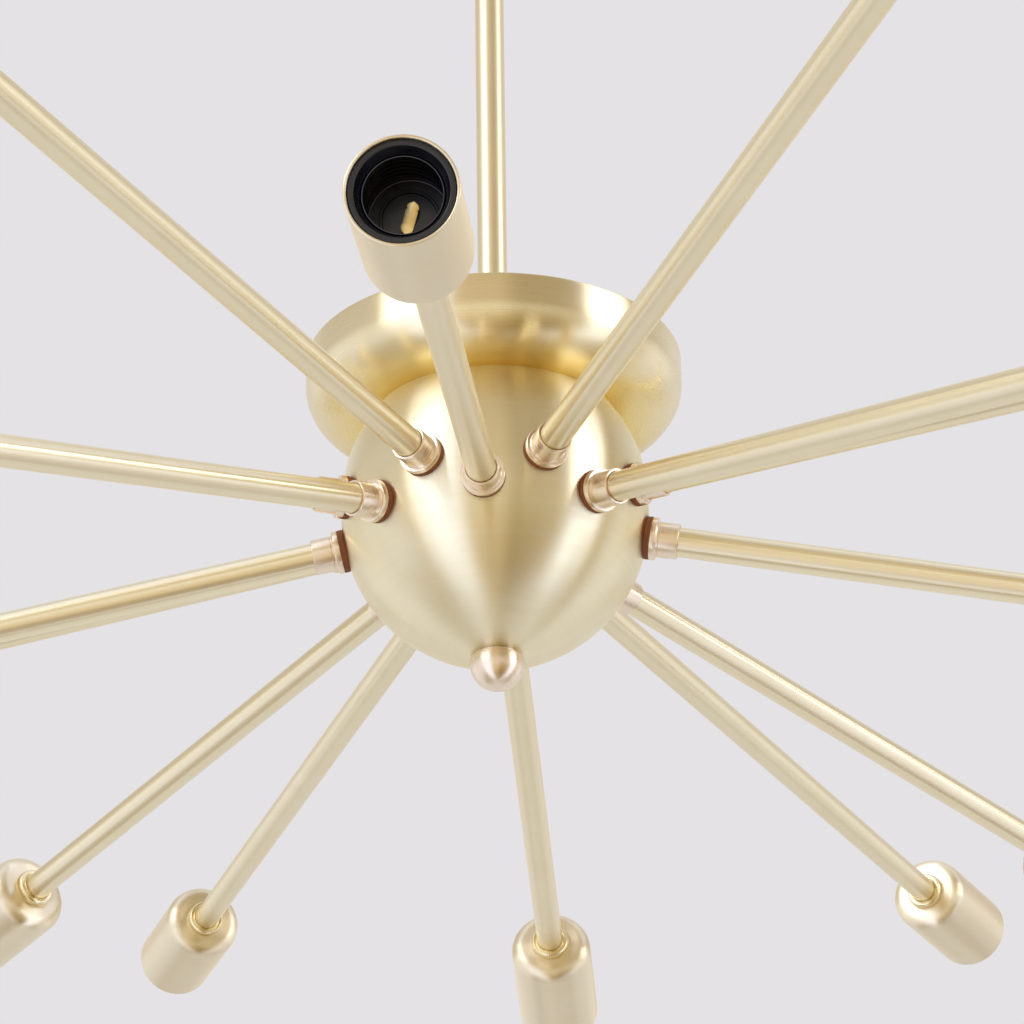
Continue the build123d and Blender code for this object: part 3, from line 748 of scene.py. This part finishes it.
# %% [markdown]
# ## Lamp holders
# Inside a cup sits a black moulded holder with a flared mouth. It holds a thin shell with a
# rolled thread and, on its floor, a sprung brass tongue for the lamp's centre contact. The
# rolled thread is one wave that winds round the axis, so the same ripple gives it.
# The tongue is not round, so it is built from a strip of points: straight at its foot, then
# bent up, with both ends rounded off.

# %% Holders and screw shells
def holder(row):
    """The phenolic body: a recess for the tube's end, a flared mouth and a ring on its floor."""
    bore, outer, cavity_r, back = TUBE_R + FIT, 18.25, 14.4, row["reach"]
    recess, foot, mouth = back + TUBE_TAIL + FIT, back + SHEET, back + CUP_LENGTH
    deep, top = mouth - CAVITY, mouth - 1.0
    outline = eased([
        (0.0, recess), (bore, recess), (bore, foot), (12.25, foot, 0.4), (outer, foot + 6.0, 0.8),
        (outer, top, 0.5), (16.25, top, 0.35), (cavity_r, mouth - 5.0, 0.3), (cavity_r, mouth - 24.0),
        (cavity_r, deep, 0.5), (10.6, deep), (10.3, deep + 0.5), (9.6, deep + 0.5), (9.3, deep), (0.0, deep),
    ], 4)
    return lathe(outline, 112, closed=False)


def shell(row):
    """The thin shell, rolled into a coarse thread."""
    edge, length, pitch, plain = row["reach"] + CUP_LENGTH - 5.0, 20.0, 3.63, 1.2
    low = edge - length

    def wave(r, z, angle):
        threaded = low + plain - 0.4 < z < edge - plain
        return r + 0.22 * sin(2 * pi * z / pitch - angle) if threaded else r

    heights = stations(low, edge, 40)
    return lathe([(13.87, z) for z in heights] + [(13.55, z) for z in heights[::-1]], 64, wave)


on_arms("holders", holder, insulator, "insulator", "socket_bodies", 26)
on_arms("shells", shell, shell_painted_shade, "shell_metal", "screw_shells", 60)

# %% Centre contacts
def tongue(row):
    """The sprung leaf: an 11 by 4.4 strip with round ends, bent up from its foot."""
    deep, half, end_r, thick = row["reach"] + CUP_LENGTH - CAVITY, 5.5, 2.2, 0.6
    bend_from, lift, lean = -3.0, 3.1, radians(-20.0)
    across = (-1.0, -0.85, 0.0, 0.85, 1.0)
    along = [-half + end_r * (1 - cos(pi / 2 * s / 6)) for s in range(7)]
    along += stations(-half + end_r, half - end_r, 12)[1:-1]
    along += [-y for y in along[:7]]      # from the tip back to where its rounding starts
    lower, upper = [], []
    for y in along:
        over = max(0.0, abs(y) - (half - end_r))
        width = sqrt(max(0.0, end_r**2 - over**2)) + 0.02
        rise = deep + lift * max(0.0, (y - bend_from) / (half - bend_from)) ** 1.25
        for share in across:
            lower.append((share * width, y, rise + 0.06 * abs(share) ** 8))
            upper.append((share * width, y, rise + thick + 0.07 * (1 - share**2) - 0.1 * abs(share) ** 8))
    count, wide = len(lower), len(across)
    faces = []
    for start in range(0, count - wide, wide):
        for a in range(start, start + wide - 1):
            b = a + wide
            faces += [(a, a + 1, b + 1, b), (a + count, b + count, b + 1 + count, a + 1 + count)]
        faces += [(a, a + wide, a + wide + count, a + count) for a in (start, start + wide - 1)]
    for start in (0, count - wide):
        faces += [(a, a + 1, a + 1 + count, a + count) for a in range(start, start + wide - 1)]
    return np.array(lower + upper) @ np.array(Matrix.Rotation(lean, 3, "Z")).T, faces


on_arms("contacts", tongue, leaf_brass, "plain_brass", "centre_contacts", 50)

# %% [markdown]
# ## Stem
# The stem is a plain tube with a softer satin than the arms. At its foot a flanged nut spreads
# the load over the floor of the dish, and at its top it screws into the collar of the swivel's
# eye.

# %% Stem and its foot
stem_top, stem_bottom = -69.8, -374.8
stem = plain_tube(STEM_R - 1.4, STEM_R, stem_bottom, stem_top, 20, 0.2)
piece("stem", lathe(stem, 96), stem_brass, "tube_brass", "stem_tube")

foot_low, foot_top = DISH_FLOOR + SHEET, -364.8
bore, collar_r, flange_r = ROD_R + FIT, 9.5, 14.9
foot = eased([
    (bore, foot_low), (flange_r, foot_low, 0.25), (flange_r, -375.6, 0.5), (13.9, -374.9, 0.3),
    (9.9, stem_bottom), (collar_r, -374.4), (collar_r, -366.0), (9.25, -365.8), (collar_r, -365.6),
    (collar_r, foot_top, 0.4), (6.95, foot_top), (STEM_R + FIT, -365.05), (STEM_R + FIT, stem_bottom),
    (bore, stem_bottom),
])
piece("stem_base", lathe(foot, 96), plain_brass, "plain_brass", "stem_foot", sharp=28)

# %% [markdown]
# ## Swivel
# A clevis turns on the canopy's threaded tube, and an eye tilts between its cheeks on a shoulder
# screw, so that the lamp hangs plumb under a sloping ceiling. These are milled parts: turned
# stock with flats, slots and cross holes. Booleans do the milling, and a bevel on the sharp
# edges breaks them as a file would.

# %% Milling helpers
def lying(angle, axis="X", height=PIVOT_Z):
    """A matrix that lays an upright part on its side at that height."""
    return Matrix.Translation((0, 0, height * MM)) @ Matrix.Rotation(radians(angle), 4, axis)


def cross(radius, half, height=PIVOT_Z, axis="X", start=0.0):
    """A bar that lies across the swivel: along Y when it is turned about X, else along X."""
    return turned_bar(bar(radius, start - half, start + half), [lying(90, axis, height)])


def prism(outline, low, high):
    """An upright block with one outline from low to high."""
    count = len(outline)
    points = np.array([(x, y, z) for z in (low, high) for x, y in outline], float)
    faces = [tuple(range(count)), tuple(range(count, 2 * count))]
    faces += [(i, (i + 1) % count, (i + 1) % count + count, i + count) for i in range(count)]
    return points, faces


def block(wide, deep, low, high, places=upright):
    """A rectangular block about the axis."""
    return solid(prism([(x * wide / 2, y * deep / 2) for x, y in SQUARE], low, high), places)


def broken(mesh, name, width):
    """The milled mesh as an object with its sharp edges broken."""
    thing = placed(name, mesh)
    edge = thing.modifiers.new("broken_edges", "BEVEL")
    edge.width, edge.segments = width * MM, 2
    edge.limit_method, edge.angle_limit = "ANGLE", radians(32)
    return thing


pivot = (0, 0, PIVOT_Z * MM)
print("pivot at", pivot)

# %% Clevis
clevis_r, top, slot_top, screw_r = 14.0, -32.3, -38.3, 3.0
clevis_stock = turned_bar(eased([(0, PIVOT_Z), (clevis_r, PIVOT_Z), (clevis_r, top, 0.9), (0, top)]))
cuts = [
    ("UNION", cross(11.0, 13.5)),
    ("INTERSECT", block(60, 26.0, -80, -20)),
    ("DIFFERENCE", block(60, 16.0, -90, slot_top)),
    ("DIFFERENCE", turned_bar(bar(ROD_R + FIT / 2, -50, -20))),
    ("DIFFERENCE", cross(screw_r + FIT, 30)),
]
clevis = broken(carve("clevis", clevis_stock, cuts, pivot), "clevis", 0.3)
settle(clevis, plain_brass, "yoke", ["swivel_yoke"])

# %% Eye
eye_r, neck_low, collar_low, wire_hole_z = 9.0, -66.8, -79.8, -63.8
collar = eased([(0, collar_low), (eye_r, collar_low, 0.4), (eye_r, neck_low, 0.6), (0, neck_low)])
cuts = [
    ("UNION", turned_bar(bar(eye_r, neck_low, PIVOT_Z))),
    ("INTERSECT", block(60, 15.6, -90, -30)),
    ("UNION", turned_bar(collar)),
    ("DIFFERENCE", turned_bar(bar(STEM_R + FIT, -90, stem_top))),
    ("DIFFERENCE", turned_bar(bar(ROD_BORE, -75, wire_hole_z))),
    ("DIFFERENCE", cross(ROD_BORE, 9.0, wire_hole_z, "Y", 9.0)),
    ("DIFFERENCE", cross(screw_r + FIT / 2, 20)),
]
eye = broken(carve("eye", cross(eye_r, 7.8), cuts, pivot), "eye", 0.25)
settle(eye, plain_brass, "fixture", ["stem_eye"])

# %% Shoulder screw and its cap nut
cheek, head_r, head_top = 13.0, 5.0, 15.5
screw_profile = eased([
    (0, -cheek), (screw_r, -cheek), (screw_r, cheek), (head_r, cheek, 0.15), (head_r, 14.6, 0.7),
    (3.6, head_top, 0.5), (0, head_top),
], 5)
screw_stock = turned_bar(screw_profile, [lying(90)], 72)
driver_slot = block(12.0, 1.2, 14.3, 17.0, [lying(90)])
screw = placed("screw", carve("screw", screw_stock, [("DIFFERENCE", driver_slot)], pivot, "Y"))
settle(screw, fitting_brass, "yoke", ["swivel_pivot_screw"], 28)
dome = eased([(0, cheek), (head_r, cheek, 0.15), (head_r, 14.3, 0.5), (3.9, 15.2, 0.8), (0, head_top)], 5)
cap_nut = lathe(dome, 72, closed=False)
piece(
    "cap_nut", cap_nut, fitting_brass, "fitting_brass", "swivel_pivot_nut",
    body="yoke", places=[lying(-90)], sharp=28,
)

# %% [markdown]
# ## Canopy
# The canopy is a small pan like the dish, turned rim up against the ceiling, and it hides the
# box that the wires come from. A knurled nut draws it tight, and behind it a slotted steel strap
# carries the whole lamp. Nobody sees the strap once the lamp is up, but it is what the two
# ceiling screws hold, so it gets its slots and its zinc.

# %% Canopy, nuts and threaded tube
canopy_r, low = 63.5, -26.0
inner_low = low + SHEET
canopy = (
    [(HOLE_R, low)] + [(r, low) for r in (14.0, 28.0, 40.0)]
    + quarter(canopy_r, low, 12.0, 11.0, 18) + [(canopy_r, -8.0)] + rim_of(canopy_r, 0, 1.5)
    + quarter(canopy_r - SHEET, inner_low, 12.0 - SHEET, 11.0 - SHEET, 18)[::-1]
    + [(30.0, inner_low), (HOLE_R, inner_low)]
)
piece("canopy", lathe(canopy, 160), hub_brass, "hub_brass", "canopy_pan", body="ceiling_mount")

bore, rim, under = ROD_R + FIT, 11.0, low - 6.0
nut = lathe(eased([
    (bore, under + 0.3), (bore + 0.3, under), (9.8, under, 0.25), (10.6, under + 0.8), (rim, under + 1.2),
    (rim, low - 0.9), (10.6, low - 0.5), (10.6, low), (bore, low),
]), 288, knurl(48, 0.35, rim - 0.2))
piece("canopy_ring", nut, plain_brass, "plain_brass", "canopy_nut", body="ceiling_mount", sharp=40)
nipple = threaded_tube(ROD_BORE, ROD_R, -43.3, 0.0)
piece("threaded_tube", nipple, plain_brass, "plain_brass", "canopy_nipple", body="ceiling_mount")
keeper_low = slot_top - 4.0
keeper = eased([
    (bore, keeper_low + 0.3), (bore + 0.3, keeper_low), (7.8, keeper_low, 0.4), (7.8, slot_top, 0.4),
    (bore, slot_top),
])
piece("retaining_nut", lathe(keeper, 96), zinc, "steel", "swivel_retainer_nut", body="ceiling_mount")

# %% Ceiling strap
def stadium(length, width, middle_x, low, high, steps=16):
    """A block with round ends, for the strap itself and for its slots."""
    reach, end_r = length / 2 - width / 2, width / 2
    outline = []
    for side, start in ((1, -90), (-1, 90)):
        for step in range(steps + 1):
            angle = radians(start + 180 * step / steps)
            outline.append((middle_x + side * reach + end_r * cos(angle), end_r * sin(angle)))
    return solid(prism(outline, low, high))


slot_offset = 39.7
cuts = [("DIFFERENCE", turned_bar(bar(ROD_R + FIT, -5, 5), segments=48))]
cuts += [("DIFFERENCE", stadium(14.0, 4.6, side * slot_offset, -5, 5)) for side in (-1, 1)]
strap_stock = stadium(104.0, 20.0, 0, -2.5, 0)
strap = broken(carve("strap", strap_stock, cuts, (0, 0, 0)), "strap", 0.25)
settle(strap, zinc, "ceiling_mount", ["mounting_strap"])

# %% [markdown]
# ## Room, light and camera
# Brushed metal shows the room it hangs in, so the light is drawn first as a room: a pale surround
# with two tall bright windows, and a dim, warm stretch between them where the room goes back. In
# the bowl those become the two white bands and the gold between them. The room has storeys too,
# a tan floor, bright walls with a pale horizon, a duller shelf and a ceiling, and those are the
# stripes on the level arms. It is a world shader that depends only on the direction of a ray, so
# it lights every side of the lamp. Rays straight from the camera see a plain pale ground instead,
# and so do reflections of what lies right behind the lamp.

# %% World
BACKGROUND = (0.775, 0.760, 0.780)
ROOM_LIGHT = 2.3          # strength of the room, whose colours are written as shares of it


def shaded(tree, value, stops, top=1.0):
    """A ramp of colours along a value, with its stops counted from 0 to the top."""
    ramp = add(tree, "ValToRGB", i0=value)
    points = ramp.color_ramp.elements
    points[0].color, points[-1].color = (*stops[0][1], 1), (*stops[-1][1], 1)
    for place, colour in stops[1:-1]:
        points.new(place / top).color = (*colour, 1)
    return ramp.outputs[0]


def plain_to_camera(tree, kind, lit, output):
    """Joins a shader to the output, with the plain background instead for the camera's own rays."""
    plain = add(tree, kind, Strength=1.0, Color=(*BACKGROUND, 1)).outputs[0]
    seen = add(tree, "LightPath").outputs["Is Camera Ray"]
    put(output, Surface=add(tree, "MixShader", i0=seen, i1=lit.outputs[0], i2=plain).outputs[0])


def room_colours(tree, around, height):
    """The room by bearing and by height: 180 degrees is toward the camera, 0.5 is level."""
    none, part, full = (0.0,) * 3, (0.6,) * 3, (1.0,) * 3
    pale, warm, dim = (0.385, 0.385, 0.42), (0.37, 0.305, 0.20), (0.21, 0.155, 0.06)
    floor, front, top = (0.58, 0.52, 0.39), (0.98, 0.98, 1.0), (0.92, 0.91, 0.89)
    shelf, ceiling = (0.66, 0.60, 0.48), (0.86, 0.85, 0.82)
    walls = shaded(tree, around, [
        (0, pale), (110, pale), (122, warm), (188, warm), (200, dim), (278, dim), (294, pale), (360, pale),
    ], 360)
    above = shaded(tree, height, [(0.0, none), (0.78, none), (0.90, full), (1.0, full)])
    storeys = shaded(tree, height, [
        (0.0, floor), (0.13, floor), (0.21, front), (0.46, front), (0.60, top), (0.70, shelf), (0.90, shelf),
        (0.96, ceiling), (1.0, ceiling),
    ])
    room = blend(tree, 1.0, blend(tree, above, walls, pale), storeys, "MULTIPLY")
    horizon = shaded(tree, height, [
        (0.0, none), (0.33, none), (0.43, part), (0.56, part), (0.64, none), (1.0, none),
    ])
    return blend(tree, horizon, room, (0.46, 0.465, 0.48))


def surround():
    """A pale room with two windows, as a world shader."""
    world = bpy.data.worlds.new("pale_room")
    bpy.context.scene.world = world
    world.use_nodes = True
    tree = world.node_tree
    tree.nodes.clear()
    none, full = (0.0,) * 3, (1.0,) * 3
    way = add(tree, "TexCoord").outputs["Generated"]
    x, y, z = add(tree, "SeparateXYZ", Vector=way).outputs
    bearing = reckon(tree, "ARCTAN2", x, reckon(tree, "MULTIPLY", y, -1.0))
    around = spread(tree, bearing, -pi, pi)
    height = spread(tree, z, -1.0, 1.0)
    room = room_colours(tree, around, height)
    behind = shaded(tree, around, [
        (0, full), (38, full), (56, none), (304, none), (322, full), (360, full),
    ], 360)
    rays = add(tree, "LightPath").outputs
    mirrored = reckon(tree, "MAXIMUM", rays["Is Glossy Ray"], rays["Is Transmission Ray"])
    background = tuple(part / ROOM_LIGHT for part in BACKGROUND)
    with_background = blend(tree, reckon(tree, "MULTIPLY", behind, mirrored), room, background)
    windows = shaded(tree, around, [
        (0, none), (116, none), (124, full), (152, full), (162, none), (239, none), (247, full), (266, full),
        (275, none), (360, none),
    ], 360)
    all_light = blend(tree, windows, with_background, (0.56, 0.59, 0.73))
    lit = add(tree, "Background", Strength=ROOM_LIGHT, Color=all_light)
    plain_to_camera(tree, "Background", lit, add(tree, "OutputWorld"))
    return world


print("world:", surround().name)

# %% Floor
def ground():
    """A wide pale floor far below, which the camera sees in the colour of the room behind it."""
    mesh = bpy.data.meshes.new("floor")
    half, level = 45.0, -9.0
    mesh.from_pydata([(x * half, y * half, level) for x, y in SQUARE], [], [(0, 1, 2, 3)])
    thing = placed("floor", mesh)
    made, tree, shader = fresh("pale_floor")
    grain = noise(tree, add(tree, "TexCoord").outputs["Object"], 1.0, 5.0, 0.6)
    put(shader, Base_Color=blend(tree, grain, (0.76, 0.75, 0.76), (0.80, 0.79, 0.80)), Roughness=0.8)
    plain_to_camera(tree, "Emission", shader, tree.nodes["Material Output"])
    mesh.materials.append(made)
    thing.visible_glossy = False
    return thing


print("floor at", ground().data.vertices[0].co.z)

# %% Lamps
def soft_lamp(name, place, aim, size, watts):
    """A square area lamp that points at a spot."""
    light = bpy.data.lights.new(name, "AREA")
    light.shape, light.size, light.energy = "SQUARE", size, watts
    thing = placed(name, light)
    thing.location = place
    thing.rotation_euler = (Vector(aim) - Vector(place)).to_track_quat("-Z", "Y").to_euler()
    thing.visible_camera = False


soft_lamp("window_fill", (-1.9, -1.6, 0.9), hub, 1.4, 12)
soft_lamp("room_fill", (2.2, -0.6, 0.3), hub, 1.2, 8)
print("lamps:", len(bpy.data.lights))

# %% [markdown]
# The camera stands 1.71 m from the hub and 26 degrees below it, looking up through a long lens.
# Its place was worked out from where the arms and the rims of bowl and dish lie in the picture.
# A long lens far away and a short one nearby can frame the same hub, but only one of them makes
# the near cup as large against the far ones as it is.

# %% Camera
def camera():
    """The camera of the photograph: below the hub, slightly to its right, tilted by a degree."""
    picture, focal = 1024, 3955.0        # pixels: the picture's side and the focal length
    hub_across, hub_down = 495.4, 517.4  # the pixel on which the hub's centre lies
    away = 1.710
    bearing, below, roll = radians(3.9), radians(26.45), radians(0.8)
    level = cos(below)
    back = Vector((sin(bearing) * level, -cos(bearing) * level, -sin(below)))
    right = (-back).cross(Vector((0, 0, 1))).normalized()
    up = right.cross(-back)
    right, up = right * cos(roll) - up * sin(roll), up * cos(roll) + right * sin(roll)
    aside, lower = (hub_across - picture / 2) / focal, (picture / 2 - hub_down) / focal
    data = bpy.data.cameras.new("camera")
    data.sensor_width = 36.0
    data.lens = focal * data.sensor_width / picture
    data.clip_start, data.clip_end = 0.05, 60.0
    thing = placed("camera", data)
    turned = Matrix((right, up, back)).transposed().to_4x4()
    place = hub + back * away - right * aside * away - up * lower * away
    thing.matrix_world = Matrix.Translation(place) @ turned
    bpy.context.scene.camera = thing


camera()
bpy.context.scene.view_settings.view_transform = "Standard"
print("camera at", [round(v, 3) for v in bpy.context.scene.camera.location])

# %% [markdown]
# ## Check and finish
# The finished pieces must fill the same box as the frame.

# %% Finish
bpy.context.view_layer.update()
